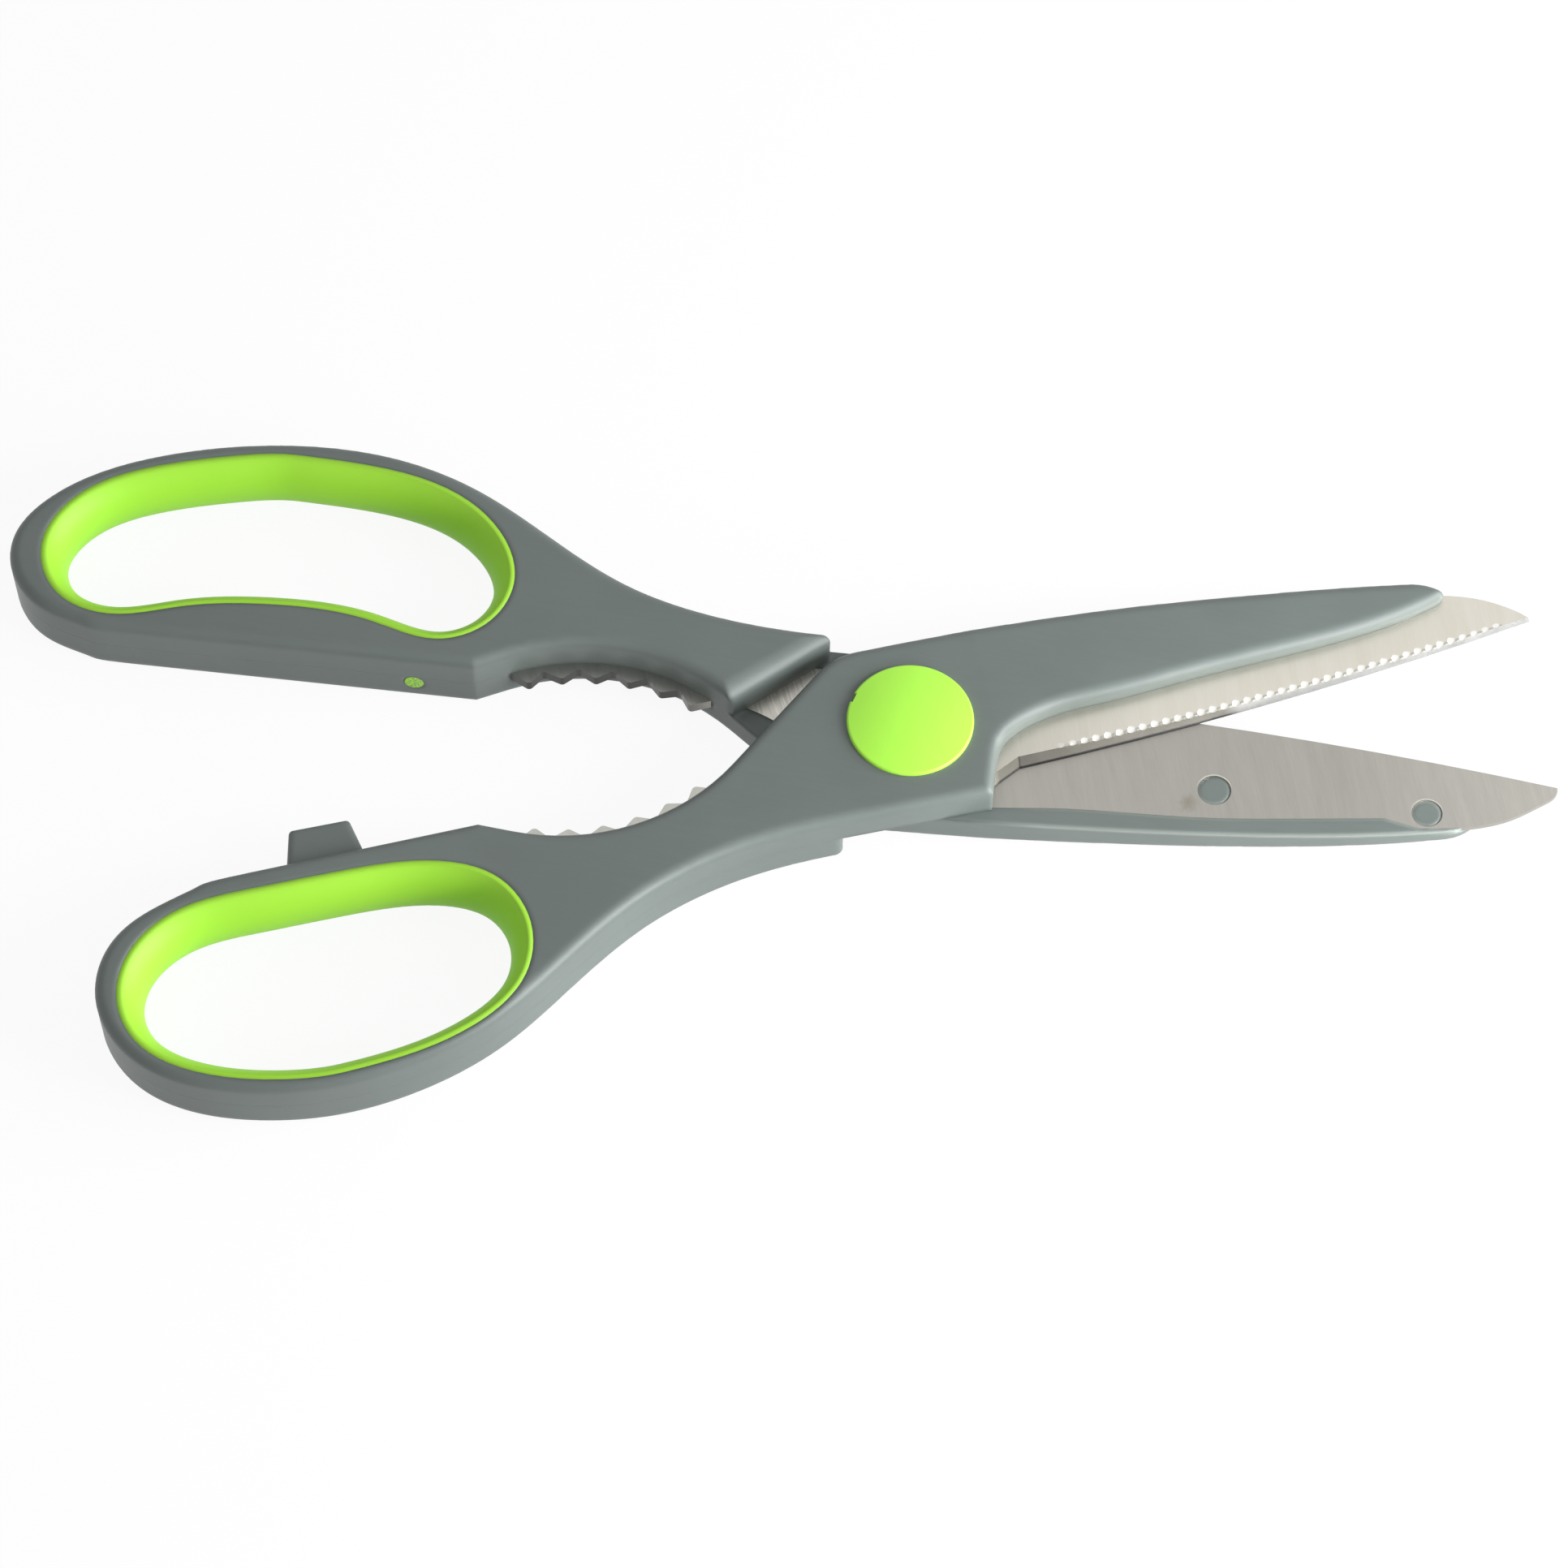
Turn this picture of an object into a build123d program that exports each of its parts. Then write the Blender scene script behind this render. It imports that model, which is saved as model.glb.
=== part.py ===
from build123d import *
import os
from math import asin, atan2, cos, degrees, radians, sin, sqrt, tan
from types import SimpleNamespace

# Kitchen shears: two crossed halves on one pivot, lying flat and open.
# Every half is drawn in its own frame: the pivot at the origin, the tip towards +X, the
# cutting edge and the handle on the +Y side, and the face that slides on the other half
# at z = 0 with the outer face below it. The lower half lies like that. The upper half is
# turned over about X, and the two are opened about Z and lifted onto the resting plane.

# Driving sizes, in millimetres
handle_thickness = 10.8        # outer face to outer face through a finger loop
running_gap = 0.1              # between the sliding faces of the two halves
outer_edge_radius = 1.4        # rounding round the outer faces of the plastic
cut_overrun = 2.0              # how far a cutting body runs past what it cuts

# Opening of the two halves in the resting pose, in degrees from the X axis
lower_half_angle = -4.9
upper_half_angle = 12.46

# Steel blanks
blade_length = 92.4            # pivot to tip
plate_thickness = 1.8          # at the hub and in the handle
tip_thickness = 0.7            # where the outer face has been ground down at the tip
grind_start = 14.0             # distance from the pivot where that grinding starts
blade_spine = 9.5              # blade axis to the back of the blade
heel_reach = 14.2              # pivot to the start of the cutting edge
heel_height = 8.0              # blade axis to the cutting edge at its heel
heel_run = 5.0                 # from the heel the edge turns away under the hub
heel_rise = 2.5
edge_crown = 1.2               # how far the cutting edge bows out of a straight line
edge_bevel_angle = 62.0        # ground bevel to the flat face, in degrees
spine_step_setback = 24.4      # tip to the step where the blade widens
anchor_hole_diameter = 4.8     # holes that the plastic fills to hold the blade
anchor_hole_reach = 43.8
anchor_hole_drop = 4.5         # blade axis to the hole's centre
tip_hole_diameter = 4.4
tip_hole_setback = 18.4        # tip to that hole's centre
tip_hole_drop = 5.7
hole_fill_recess = 0.15        # the plastic in those holes lies a little low
tang_width = 7.0               # steel behind the tooth roots, inside the handle
tang_neck_width = 10.9         # blade axis to the tang's outer side beside the shoulder

# Micro serration ground into the bevel's upper corner on the upper blade
serration_pitch = 1.76
serration_radius = 1.2         # of the round stone that leaves each scallop
serration_depth = 0.24
serration_start = 6.5          # heel to the first scallop
serration_end_margin = 5.2     # left plain before the tip
serration_tilt = 16.0          # slope of each scallop into the outer face, in degrees
serration_length = 4.0
serration_fade = 4             # scallops over which the row grows in and fades out

# Nutcracker teeth
recess_centre_reach = 45.5     # pivot to the middle of the recess, along the blade axis
recess_radius = 31.0           # curve of the plastic along the recess
recess_depth = 4.95            # inner wall of the handle to the bottom of the recess
recess_half_span = 13.0        # middle to the end of its curve, where it runs on straight
tooth_overhang = 2.5           # tooth tips past the plastic
tooth_depth = 1.6
tooth_pitch = 4.81
tooth_count = 6
tooth_rounding = 0.7
tooth_root_cover = 0.6         # the row's two ends lie this far inside the plastic
teeth_lead = 2.1               # shift of the row's middle towards the pivot

# Hub, neck and blade cover
hub_half_width = 13.7
hub_end_reach = 8.8            # pivot to the square end of the hub beside the blade
cover_heel_reach = 10.0        # pivot to the heel, where the cover meets the hub's end
neck_slope = 38.8              # neck's edge to the blade axis, in degrees
neck_corner_radius = 10.0
cover_setback = 11.6           # tip back to the nose of the plastic cover on the blade
cover_nose_thickness = 3.3     # the cover gets thinner from the hub to its nose
cover_thin_start = 12.0
shoulder_corner_reach = 10.8   # pivot to the shoulder's outer corner, along the axis
shoulder_slope = 38.8
shoulder_corner_radius = 1.0
shoulder_edge_radius = 3.0     # broad rounding over the shoulder's upper edge

# Handles
loop_crest_reach = 91.0        # pivot to the loops' highest point, along the blade axis
large_crest_height = 39.9      # blade axis to that point
large_loop_reach = 132.5
large_wall_height = 4.0        # blade axis to the inner wall at its corner
large_wall_rise = 1.8          # more at the wall's far end
small_crest_height = 38.9
small_loop_reach = 119.6
small_wall_height = 2.8
small_wall_rise = 0.7

# Soft grips in the finger loops
large_rim_end = 127.8          # pivot to the far end of the finger hole in the plastic
small_rim_end = 116.8
rim_setback = 0.2              # end of the recess's curve to the near end of the holes
rim_crest_height = 37.6        # blade axis to the holes' highest point
grip_land = 0.7                # flat rim of the grip, flush with the handle
grip_bulge = 3.3               # how far the grip stands into the loop at its middle
gate_diameter = 2.9            # plug of grip material left by moulding, in the inner wall
gate_reach = 71.9
gate_drop = 1.3                # below the middle of the handle
gate_length = 8.0              # from the wall well into the grip

# Stop tab on the small handle
tab_reach = 84.9               # pivot to the middle of the tab
tab_base_width = 12.0
tab_tip_width = 8.6
tab_rise = 6.4                 # out of the handle's inner wall
tab_thickness = 5.2
tab_edge_radius = 0.7

# Pivot
bolt_diameter = 5.0
bolt_running_clearance = 0.05  # radial, in the upper blade
bolt_head_diameter = 10.0
bolt_head_thickness = 1.6
bolt_socket_width = 3.2
bolt_socket_depth = 1.0
washer_diameter = 11.0
washer_thickness = 0.5
nut_width = 8.0                # across flats
nut_thickness = 2.3
nut_clearance = 0.1
cap_diameter = 18.1
cap_rim_height = 0.55
cap_dome_height = 1.5          # above the handle's outer face
cap_edge_radius = 0.35
cap_skirt_diameter = 14.6
cap_skirt_wall = 1.1
cap_skirt_length = 2.4
cap_notch_width = 1.6
cap_notch_depth = 0.45
cap_notch_angle = 156.0        # place of the small notch in the cap's rim, in degrees
rear_cap_diameter = 13.0
rear_cap_thickness = 0.9
rear_cap_edge = 0.3

half_thickness = handle_thickness / 2
facing_share = 0.9             # cosine that tells an outer face from a side wall
same_place = 0.01              # two edges with middles this close are one edge
sliding_z = -running_gap / 2
steel_outer_z = sliding_z - plate_thickness
nut_sides = 6
hanging = (Align.CENTER, Align.CENTER, Align.MAX)
standing = (Align.CENTER, Align.CENTER, Align.MIN)
cover_reach = blade_length - cover_setback
spine_step_reach = blade_length - spine_step_setback
tip_hole_reach = blade_length - tip_hole_setback
recess_start_reach = recess_centre_reach + recess_half_span
rim_near_end = recess_start_reach + rim_setback
anchor_places = [(anchor_hole_reach, -anchor_hole_drop, anchor_hole_diameter),
                 (tip_hole_reach, -tip_hole_drop, tip_hole_diameter)]

# Outline shares, chosen by hand from the shape of the handles
# Outer side from the hub to the crest: share of the crest's reach, share of the rise
large_outer_shares = [(0.05, 0.0), (0.308, 0.065), (0.461, 0.225), (0.593, 0.5),
                      (0.725, 0.789), (0.857, 0.953), (1.0, 1.0)]
small_outer_shares = [(0.05, 0.0), (0.308, 0.043), (0.461, 0.21), (0.593, 0.49),
                      (0.725, 0.789), (0.857, 0.953), (1.0, 1.0)]
# Round the end of a loop: share of the way from crest to end, share of the loop's height
large_end_shares = [(0.284, 0.967), (0.544, 0.888), (0.757, 0.772), (0.91, 0.622),
                    (0.988, 0.463), (0.993, 0.325), (0.94, 0.186), (0.842, 0.086),
                    (0.709, 0.026)]
small_end_shares = [(0.333, 0.96), (0.626, 0.875), (0.85, 0.742), (0.973, 0.577),
                    (1.0, 0.398), (0.918, 0.228), (0.714, 0.098), (0.442, 0.023)]
# Where the inner wall starts, as a share of the way from crest to end
large_wall_start_share = 0.544
small_wall_start_share = 0.17
# Finger holes: share of the hole's length from its near end, share of the crest's height
large_rim_shares = [(0.495, 1.0), (0.308, 0.968), (0.149, 0.878), (0.045, 0.718),
                    (0.0, 0.492), (0.048, 0.29), (0.142, 0.21), (0.287, 0.269),
                    (0.504, 0.309), (0.685, 0.271), (0.829, 0.215), (0.945, 0.287),
                    (1.0, 0.519), (0.938, 0.753), (0.786, 0.904), (0.641, 0.971)]
small_rim_shares = [(0.504, 1.0), (0.353, 0.979), (0.194, 0.915), (0.048, 0.763),
                    (0.002, 0.545), (0.06, 0.319), (0.194, 0.207), (0.418, 0.173),
                    (0.642, 0.176), (0.814, 0.202), (0.943, 0.324), (1.0, 0.519),
                    (0.969, 0.723), (0.849, 0.88), (0.676, 0.973)]
# Blade cover's outer edge: share of its reach, share of the hub's half width
large_cover_shares = [(0.2, 0.92), (0.45, 0.885), (0.66, 0.82), (0.8, 0.745), (0.93, 0.635)]
small_cover_shares = [(0.2, 0.98), (0.45, 0.925), (0.66, 0.82), (0.8, 0.735), (0.93, 0.635)]
cover_nose_shares = [(0.985, 0.53), (1.0, 0.43)]
# Its inner edge, from the nose back to the hub's end, the same way
cover_inner_shares = [(0.97, 0.325), (0.86, 0.185), (0.7, 0.09), (0.53, 0.02),
                      (0.36, -0.07), (0.27, -0.105), (0.2, -0.21), (0.15, -0.4)]
# The heel's height as a share of the hub's half width
cover_heel_share = 0.74
# Ways the outline runs at the end of the nose and at the heel
nose_end_direction = (-1, 0.3)
heel_direction = (-0.45, 1)
# Back of the blade: share of its length, share of the spine's distance from the axis
spine_shares = [(0.22, 0.995), (0.45, 0.965), (0.6, 0.86)]
spine_step_share = 0.74
# Widened end of the blade, from the step to the tip
lower_tip_shares = [(0.79, 0.87), (0.85, 0.81), (0.93, 0.58), (0.978, 0.29), (1.0, 0.07)]
upper_tip_shares = [(0.79, 0.86), (0.87, 0.7), (0.93, 0.51), (0.972, 0.26), (0.992, 0.09)]
# Way from a tooth's root to its tip along the pitch
root_to_tip_share = 0.5
# Steel's edge through the neck and hub, inside the plastic: share of the recess's
# distance from the pivot, share of the spine's distance from the axis
tang_edge_shares = [(-0.53, 0.37), (-0.43, 0.17), (-0.26, -0.37), (-0.1, -0.87)]
tang_back_shares = [(-0.3, 1.14), (-0.62, 1.3), (-1.02, 1.42)]


large = SimpleNamespace(
    loop_reach=large_loop_reach, crest_height=large_crest_height,
    wall_height=large_wall_height, wall_rise=large_wall_rise,
    outer_shares=large_outer_shares, end_shares=large_end_shares,
    wall_start_share=large_wall_start_share, cover_shares=large_cover_shares,
    rim_end=large_rim_end, rim_shares=large_rim_shares, tip_shares=lower_tip_shares)
small = SimpleNamespace(
    loop_reach=small_loop_reach, crest_height=small_crest_height,
    wall_height=small_wall_height, wall_rise=small_wall_rise,
    outer_shares=small_outer_shares, end_shares=small_end_shares,
    wall_start_share=small_wall_start_share, cover_shares=small_cover_shares,
    rim_end=small_rim_end, rim_shares=small_rim_shares, tip_shares=upper_tip_shares)


def shared_points(shares, width, height, start_x=0, start_y=0):
    """Points at shares of a width and a height, from a starting corner."""
    return [(start_x + width * x, start_y + height * y) for x, y in shares]


def recess_centre_y(half):
    """Height of the centre of the recess's curve."""
    return half.wall_height + recess_depth - recess_radius


def on_recess(half, radius, angle):
    """Point on a circle round the recess's centre, the angle clockwise from +Y."""
    return (-recess_centre_reach + radius * sin(radians(angle)),
            recess_centre_y(half) + radius * cos(radians(angle)))


def inner_wall(half):
    """Inner wall of the handle, from the loop's end to its corner by the recess."""
    end_length = half.loop_reach - loop_crest_reach
    start = (-loop_crest_reach - end_length * half.wall_start_share,
             half.wall_height + half.wall_rise)
    rise = sqrt(recess_radius ** 2 - recess_half_span ** 2)
    facet_slope = recess_half_span / rise
    facet_run = (recess_centre_y(half) + rise - half.wall_height) / facet_slope
    return Line(start, (-recess_start_reach - facet_run, half.wall_height))


def wall_at(half, reach):
    """Height of the handle's inner wall at a distance from the pivot."""
    wall = inner_wall(half)
    share = ((wall @ 0).X + reach) / ((wall @ 0).X - (wall @ 1).X)
    return (wall @ share).Y


def straight(*points):
    """Edges of straight runs between points."""
    return Polyline(*points).edges()


def plastic_outline(half):
    """Whole outline of a half's plastic: recess, neck, cover, hub, loop and inner wall."""
    start_angle = -degrees(asin(recess_half_span / recess_radius))
    recess_start = on_recess(half, recess_radius, start_angle)
    recess_end = on_recess(half, recess_radius, neck_slope)
    recess = ThreePointArc(recess_start, on_recess(half, recess_radius, 0), recess_end)
    outer_points = shared_points(half.cover_shares, cover_reach, -hub_half_width)
    neck_side = outer_points[0][1]
    neck_drop = recess_end[1] - neck_side
    neck_corner = (recess_end[0] + neck_drop / tan(radians(neck_slope)), neck_side)
    cut_back = neck_corner_radius * tan(radians(neck_slope / 2))
    neck_end = (neck_corner[0] - cut_back * cos(radians(neck_slope)),
                neck_corner[1] + cut_back * sin(radians(neck_slope)))
    neck = Line(recess_end, neck_end)
    corner = TangentArc(neck_end, (neck_corner[0] + cut_back, neck_side), tangent=neck % 1)
    outer = Spline(corner @ 1, *outer_points)
    nose_points = shared_points(cover_nose_shares, cover_reach, -hub_half_width)
    inner_points = shared_points(cover_inner_shares, cover_reach, -hub_half_width)
    nose = Spline(outer @ 1, *nose_points, inner_points[0],
                  tangents=(outer % 1, nose_end_direction))
    heel = (cover_heel_reach, hub_half_width * cover_heel_share)
    hub_corner = (hub_end_reach, hub_half_width)
    hub_end = Line(heel, hub_corner)
    inner = Spline(nose @ 1, *inner_points[1:], heel, tangents=(nose % 1, heel_direction))
    rise = half.crest_height - hub_half_width
    curve = shared_points(half.outer_shares, -loop_crest_reach, rise, 0, hub_half_width)
    wall = inner_wall(half)
    wall_end = (wall @ 0).Y
    end = shared_points(half.end_shares, loop_crest_reach - half.loop_reach,
                        half.crest_height - wall_end, -loop_crest_reach, wall_end)
    hub_top = Line(hub_corner, (curve[0][0], hub_half_width))
    loop = Spline(hub_top @ 1, *curve[1:], *end, wall @ 0,
                  tangents=(hub_top % 1, wall % 0))
    facet = Line(wall @ 1, recess_start)
    return make_face(Curve() + [recess, neck, corner, outer, nose, inner, hub_end,
                                hub_top, loop, wall, facet])


def outer_face_edges(solid):
    """Edges round the outer face, without the crease across it."""
    faces = [f for f in solid.faces() if f.normal_at(f.center()).Z < -facing_share]
    edges = [e for f in faces for e in f.edges()]
    centres = [e.center() for e in edges]
    return [e for e, c in zip(edges, centres)
            if sum((c - other).length < same_place for other in centres) == 1]


def cover_thinning():
    """Wedge that slopes the outer face of the cover down towards its nose."""
    run = cover_reach - cover_thin_start
    slope = degrees(atan2(half_thickness - cover_nose_thickness, run))
    size = 2 * cover_reach
    wedge = Box(size, size, handle_thickness, align=(Align.MIN, Align.CENTER, Align.MAX))
    return Pos(cover_thin_start, 0, -half_thickness) * Rot(0, -slope, 0) * wedge


def handle_side(top, rounding=0):
    """Everything on the handle's side of the shoulder, up to a height."""
    size = 2 * large_loop_reach
    block = Box(size, size, size, align=(Align.CENTER, Align.MIN, Align.MAX))
    if rounding:
        block = fillet(block.edges().group_by(Axis.Z)[-1].sort_by(Axis.Y)[0], rounding)
    return Pos(-shoulder_corner_reach, hub_half_width, top) * Rot(0, 0, shoulder_slope) * block


def blade_cutting_edge():
    """Bowed cutting edge from the heel to the tip, on the sliding face."""
    heel = Vector(heel_reach, heel_height)
    tip = Vector(blade_length, 0)
    bow = (tip - heel).normalized().rotate(Axis.Z, 90) * edge_crown
    return ThreePointArc(heel, (heel + tip) / 2 + bow, tip)


def heel_edge():
    """Short straight edge from under the hub to the heel."""
    return Line((heel_reach - heel_run, heel_height + heel_rise), (heel_reach, heel_height))


def tooth_row(half):
    """Rounded zigzag of the nutcracker teeth, from the handle towards the pivot."""
    tips = recess_radius - tooth_overhang
    roots = tips + tooth_depth
    turn = degrees(tooth_pitch / tips)
    first = degrees(teeth_lead / tips) - turn * tooth_count / 2
    hidden = recess_radius + tooth_root_cover
    points = [on_recess(half, hidden, first)]
    for index in range(tooth_count):
        if index:
            points.append(on_recess(half, roots, first + turn * index))
        points.append(on_recess(half, tips, first + turn * (index + root_to_tip_share)))
    points.append(on_recess(half, hidden, first + turn * tooth_count))
    return FilletPolyline(*points, radius=tooth_rounding)


def blank_outline(half):
    """Outline of one steel blank: blade, hub, tang and teeth."""
    edge = blade_cutting_edge()
    back = shared_points(spine_shares, blade_length, -blade_spine)
    step = (spine_step_reach, -blade_spine * spine_step_share)
    ends = shared_points(half.tip_shares, blade_length, -blade_spine)
    nose = Spline(*ends, edge @ 1)
    widening = Line(step, ends[0])
    teeth = tooth_row(half)
    inner = shared_points(tang_edge_shares, recess_centre_reach, blade_spine)
    inner_edge = Spline(teeth @ 1, *inner, *back, step)
    rear = (-recess_start_reach, (teeth @ 0).Y + tang_width)
    outer = shared_points(tang_back_shares, recess_centre_reach, blade_spine)
    heel = heel_edge()
    outer_edge = Spline(heel @ 0, (0, tang_neck_width), *outer, rear)
    tail = Line(teeth @ 0, rear)
    return make_face(Curve() + [edge, *teeth.edges(), nose, widening, inner_edge,
                                outer_edge, heel, tail])


def grinding():
    """Wedge that thins the outer face of the blade from the hub to its tip."""
    run = blade_length - grind_start
    slope = degrees(atan2(plate_thickness - tip_thickness, run))
    size = 2 * blade_length
    wedge = Box(size, size, handle_thickness, align=(Align.MIN, Align.CENTER, Align.MAX))
    return Pos(grind_start, 0, steel_outer_z) * Rot(0, -slope, 0) * wedge


def bevel_cutter():
    """Ground bevel: a ruled body whose inner side leaves the cutting edge at the bevel."""
    run = (plate_thickness + cut_overrun) / tan(radians(edge_bevel_angle))
    far = 2 * heel_height
    faces = []
    for lift, shift in ((0, 0), (-plate_thickness - cut_overrun, -run)):
        place = Pos(0, shift, sliding_z + lift)
        arc = place * blade_cutting_edge()
        heel = place * heel_edge()
        over = (arc @ 1) + Vector(cut_overrun, 0, 0)
        corner_a = Vector(over.X, far, over.Z)
        corner_b = Vector((heel @ 0).X, far, over.Z)
        rest = straight(arc @ 1, over, corner_a, corner_b, heel @ 0)
        faces.append(make_face(Curve() + [*heel.edges(), *arc.edges(), *rest]))
    return loft(faces, ruled=True)


def serration(blank):
    """Cut small scallops along the upper corner of the bevel."""
    edge = blade_cutting_edge()
    count = int((edge.length - serration_start - serration_end_margin) / serration_pitch)
    for index in range(count):
        along = serration_start + serration_pitch * index
        share = along / edge.length
        place = edge @ share
        reach = place.X
        thickness = plate_thickness
        if reach > grind_start:
            drop = (plate_thickness - tip_thickness) / (blade_length - grind_start)
            thickness -= drop * (reach - grind_start)
        run = thickness / tan(radians(edge_bevel_angle))
        direction = edge % share
        turn = degrees(atan2(direction.Y, direction.X))
        spot = Pos(place.X, place.Y, sliding_z - thickness) * Rot(0, 0, turn) * Pos(0, -run, 0)
        grown = min(index + 1, count - index, serration_fade) / serration_fade
        rise = serration_radius - serration_depth * grown
        scallop = Rot(serration_tilt, 0, 0) * Pos(0, 0, -rise) * Rot(90, 0, 0)
        scallop *= Cylinder(serration_radius, serration_length)
        blank -= spot * scallop
    return blank


def blade(half, serrated):
    """Steel blank: ground blade, bevel, holes and nutcracker teeth."""
    thickness = -plate_thickness
    blank = extrude(Pos(0, 0, sliding_z) * blank_outline(half), amount=thickness,
                    dir=(0, 0, 1))
    blank -= grinding()
    blank -= bevel_cutter()
    for x, y, size in anchor_places:
        blank -= Pos(x, y, 0) * Cylinder(size / 2, 2 * half_thickness)
    if serrated:
        blank = serration(blank)
    return blank


def rim_wire(half):
    """Closed edge of the finger hole in the plastic, at the middle of the handle."""
    points = shared_points(half.rim_shares, rim_near_end - half.rim_end,
                           rim_crest_height, -rim_near_end)
    return Wire([Spline(*points, periodic=True)])


def finger_hole(half, overrun=0):
    """Straight hole through the plastic of a handle."""
    return extrude(make_face(rim_wire(half)), amount=half_thickness + overrun, both=True)


def gate_plug(half):
    """Plug of grip material from the loop out to the handle's inner wall."""
    plug = Cylinder(gate_diameter / 2, gate_length, align=standing)
    return Pos(-gate_reach, wall_at(half, gate_reach), -gate_drop) * Rot(-90, 0, 0) * plug


def grip(half):
    """Soft ring lining a finger loop, bulging inwards, with its moulding plug."""
    rim = rim_wire(half)
    section_plane = Plane(origin=rim @ 0, x_dir=(0, -1, 0), z_dir=rim % 0)
    top = half_thickness
    bulge = ThreePointArc((grip_land, -top), (grip_bulge, 0), (grip_land, top))
    outer = straight((grip_land, top), (-cut_overrun, top), (-cut_overrun, -top),
                     (grip_land, -top))
    section = section_plane * make_face(Curve() + [bulge, *outer])
    ring = sweep(section, path=rim) & finger_hole(half)
    return ring + (gate_plug(half) - finger_hole(half))


def stop_tab():
    """Drafted stop on the small handle's inner wall, meeting the other handle closed."""
    wall = wall_at(small, tab_reach)
    root = wall + outer_edge_radius
    tip = wall - tab_rise
    outline = Polyline((-tab_reach - tab_base_width / 2, root),
                       (-tab_reach - tab_tip_width / 2, tip),
                       (-tab_reach + tab_tip_width / 2, tip),
                       (-tab_reach + tab_base_width / 2, root), close=True)
    tab = extrude(make_face(outline), amount=tab_thickness / 2, both=True)
    away = tab.edges().filter_by(lambda e: e.center().Y < root - same_place)
    return fillet(away, tab_edge_radius)


def moulding(half, tab=None):
    """Plastic of one half before anything is let into it."""
    outline = plastic_outline(half)
    plate = extrude(Pos(0, 0, -half_thickness) * outline,
                    amount=half_thickness + sliding_z, dir=(0, 0, 1))
    plate -= cover_thinning()
    plate = fillet(outer_face_edges(plate), outer_edge_radius)
    upper = extrude(Pos(0, 0, sliding_z) * outline, amount=half_thickness - sliding_z,
                    dir=(0, 0, 1))
    upper &= handle_side(handle_thickness)
    middle = upper.center(CenterOf.BOUNDING_BOX).Z
    corners = [e for e in upper.edges() if abs(e.center().Z - middle) < same_place
               and e.center().X > -recess_centre_reach]
    upper = fillet(corners, shoulder_corner_radius)
    crown = upper.faces().sort_by(Axis.Z)[-1]
    upper = fillet(crown.edges(), outer_edge_radius)
    upper &= handle_side(half_thickness, shoulder_edge_radius)
    body = plate + upper
    if tab:
        body += tab
    return body


def handle_body(half, steel, soft_grip, pivot_cuts, tab=None):
    """Finished plastic of one half, with its steel, grip and pivot let in."""
    body = moulding(half, tab)
    body -= finger_hole(half, cut_overrun)
    body -= steel
    body -= soft_grip
    for x, y, size in anchor_places:
        dimple = Cylinder(size / 2, 2 * hole_fill_recess)
        body -= Pos(x, y, sliding_z) * dimple
    for cut in pivot_cuts:
        body -= cut
    return body


def outer_bore(diameter, from_z):
    """Round bore from the outer face up to a height in a half's frame."""
    depth = half_thickness + cut_overrun + from_z
    return Pos(0, 0, from_z) * Cylinder(diameter / 2, depth, align=hanging)


def nut_prism(width, top_z, height):
    """Hexagonal prism on the pivot, hanging down from a height."""
    hexagon = RegularPolygon(width / 2, nut_sides, major_radius=False)
    return extrude(Pos(0, 0, top_z - height) * hexagon, amount=height, dir=(0, 0, 1))


def pivot_bolt():
    """Shoulder bolt: head over the washer in the upper half, end in the nut below."""
    head_z = half_thickness - steel_outer_z + washer_thickness
    end_z = half_thickness + steel_outer_z - nut_thickness
    head = Pos(0, 0, head_z) * Cylinder(bolt_head_diameter / 2, bolt_head_thickness,
                                        align=standing)
    head = fillet(head.edges().sort_by(Axis.Z)[-1], bolt_socket_depth / 2)
    shank = Pos(0, 0, end_z) * Cylinder(bolt_diameter / 2, head_z - end_z, align=standing)
    socket_z = head_z + bolt_head_thickness - bolt_socket_depth
    socket = RegularPolygon(bolt_socket_width / 2, nut_sides, major_radius=False)
    return head + shank - extrude(Pos(0, 0, socket_z) * socket, amount=cut_overrun,
                                  dir=(0, 0, 1))


def spring_washer():
    """Washer that keeps the blades pressed together."""
    ring = Pos(0, 0, half_thickness - steel_outer_z)
    washer = Cylinder(washer_diameter / 2, washer_thickness, align=standing)
    bore = Cylinder(bolt_diameter / 2 + bolt_running_clearance, washer_thickness,
                    align=standing)
    return ring * (washer - bore)


def pivot_nut():
    """Hexagonal nut let into the lower half."""
    top = half_thickness + steel_outer_z
    bore = Pos(0, 0, top) * Cylinder(bolt_diameter / 2, nut_thickness, align=hanging)
    return nut_prism(nut_width, top, nut_thickness) - bore


def front_cap():
    """Domed cap over the bolt: thin rim on the handle and a skirt in its bore."""
    face = handle_thickness
    rim = cap_diameter / 2
    skirt = cap_skirt_diameter / 2
    inner = skirt - cap_skirt_wall
    foot = face - cap_skirt_length
    ceiling = face + cap_rim_height / 2
    dome = TangentArc((0, face + cap_dome_height), (rim, face + cap_rim_height),
                      tangent=(1, 0))
    rest = straight((rim, face + cap_rim_height), (rim, face), (skirt, face),
                    (skirt, foot), (inner, foot), (inner, ceiling), (0, ceiling),
                    (0, face + cap_dome_height))
    profile = Plane.XZ * make_face(Curve() + [dome, *rest])
    cap = revolve(profile, Axis.Z)
    edge = [e for e in cap.edges() if abs(e.center().Z - face - cap_rim_height) < same_place]
    cap = fillet(edge, cap_edge_radius)
    notch = Box(2 * cap_notch_depth, cap_notch_width, 2 * cap_dome_height)
    return cap - Rot(0, 0, cap_notch_angle) * Pos(rim, 0, face + cap_dome_height) * notch


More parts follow.
